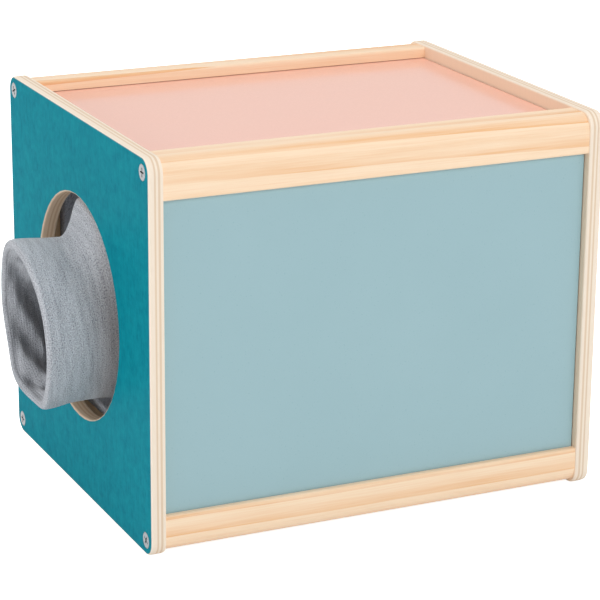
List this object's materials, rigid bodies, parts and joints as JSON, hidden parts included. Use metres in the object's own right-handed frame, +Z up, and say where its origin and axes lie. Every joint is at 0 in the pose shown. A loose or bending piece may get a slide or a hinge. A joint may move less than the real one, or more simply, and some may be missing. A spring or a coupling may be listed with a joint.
{
  "type": "feely box",
  "caption": "Wooden box with a round, jersey-sleeved arm hole in each end, coloured panels between pine rails, and a hinged door at the back, for feeling hidden objects.",
  "frame": {"origin": "on the surface that the box stands on, under the middle of the box", "axes": "+X along the rails to the right end, +Y from the front panel to the door, +Z up"},
  "size_m": [0.3154, 0.2, 0.2],
  "materials": {
    "teal_plywood": "stained teal on the face, bare at the edges",
    "bare_plywood": "bare, sanded",
    "pine": "clear satin varnish",
    "blue_grey_sheet": "satin paint",
    "peach_sheet": "satin paint",
    "grey_jersey": "heather jersey, brushed",
    "zinc_steel": "zinc plated",
    "magnet": "ground ferrite",
    "white_plastic": "moulded"
  },
  "bodies": {
    "box": {"back_stile_left": "pine", "back_stile_right": "pine", "bottom_panel": "peach_sheet", "catch_block": "white_plastic", "catch_magnet": "magnet", "catch_screw_bottom": "zinc_steel", "catch_screw_top": "zinc_steel", "clamp_screw_left_back_bottom": "zinc_steel", "clamp_screw_left_back_top": "zinc_steel", "clamp_screw_left_front_bottom": "zinc_steel", "clamp_screw_left_front_top": "zinc_steel", "clamp_screw_right_back_bottom": "zinc_steel", "clamp_screw_right_back_top": "zinc_steel", "clamp_screw_right_front_bottom": "zinc_steel", "clamp_screw_right_front_top": "zinc_steel", "end_panel_left": "teal_plywood", "end_panel_right": "teal_plywood", "frame_screw_left_back_bottom": "zinc_steel", "frame_screw_left_back_top": "zinc_steel", "frame_screw_left_front_bottom": "zinc_steel", "frame_screw_left_front_top": "zinc_steel", "frame_screw_right_back_bottom": "zinc_steel", "frame_screw_right_back_top": "zinc_steel", "frame_screw_right_front_bottom": "zinc_steel", "frame_screw_right_front_top": "zinc_steel", "front_panel": "blue_grey_sheet", "hinge_lower_pin": "zinc_steel", "hinge_lower_stile_leaf": "zinc_steel", "hinge_screw_lower_stile_bottom": "zinc_steel", "hinge_screw_lower_stile_top": "zinc_steel", "hinge_screw_upper_stile_bottom": "zinc_steel", "hinge_screw_upper_stile_top": "zinc_steel", "hinge_upper_pin": "zinc_steel", "hinge_upper_stile_leaf": "zinc_steel", "rail_back_bottom": "pine", "rail_back_top": "pine", "rail_front_bottom": "pine", "rail_front_top": "pine", "sleeve_clamp_left": "bare_plywood", "sleeve_clamp_right": "bare_plywood", "sleeve_frame_left": "bare_plywood", "sleeve_frame_right": "bare_plywood", "sleeve_skirt_left": "grey_jersey", "sleeve_skirt_right": "grey_jersey", "top_panel": "peach_sheet"},
    "rear_door": {"door": "blue_grey_sheet", "hinge_lower_door_leaf": "zinc_steel", "hinge_screw_lower_door_bottom": "zinc_steel", "hinge_screw_lower_door_top": "zinc_steel", "hinge_screw_upper_door_bottom": "zinc_steel", "hinge_screw_upper_door_top": "zinc_steel", "hinge_upper_door_leaf": "zinc_steel", "strike_plate": "zinc_steel", "strike_screw": "zinc_steel"},
    "left_cuff": {"sleeve_cuff_left": "grey_jersey"},
    "right_cuff": {"sleeve_cuff_right": "grey_jersey"}
  },
  "joints": [
    {"name": "door_hinge", "type": "hinge", "parent": "box", "child": "rear_door", "pos_m": [0.1005, 0.0973, 0.1], "axis": [0, 0, -1], "range_deg": [0, 110]},
    {"name": "left_sleeve_push", "type": "slide", "parent": "box", "child": "left_cuff", "axis": [1, 0, 0], "range_m": [0, 0.06]},
    {"name": "right_sleeve_push", "type": "slide", "parent": "box", "child": "right_cuff", "axis": [-1, 0, 0], "range_m": [0, 0.06]}
  ]
}
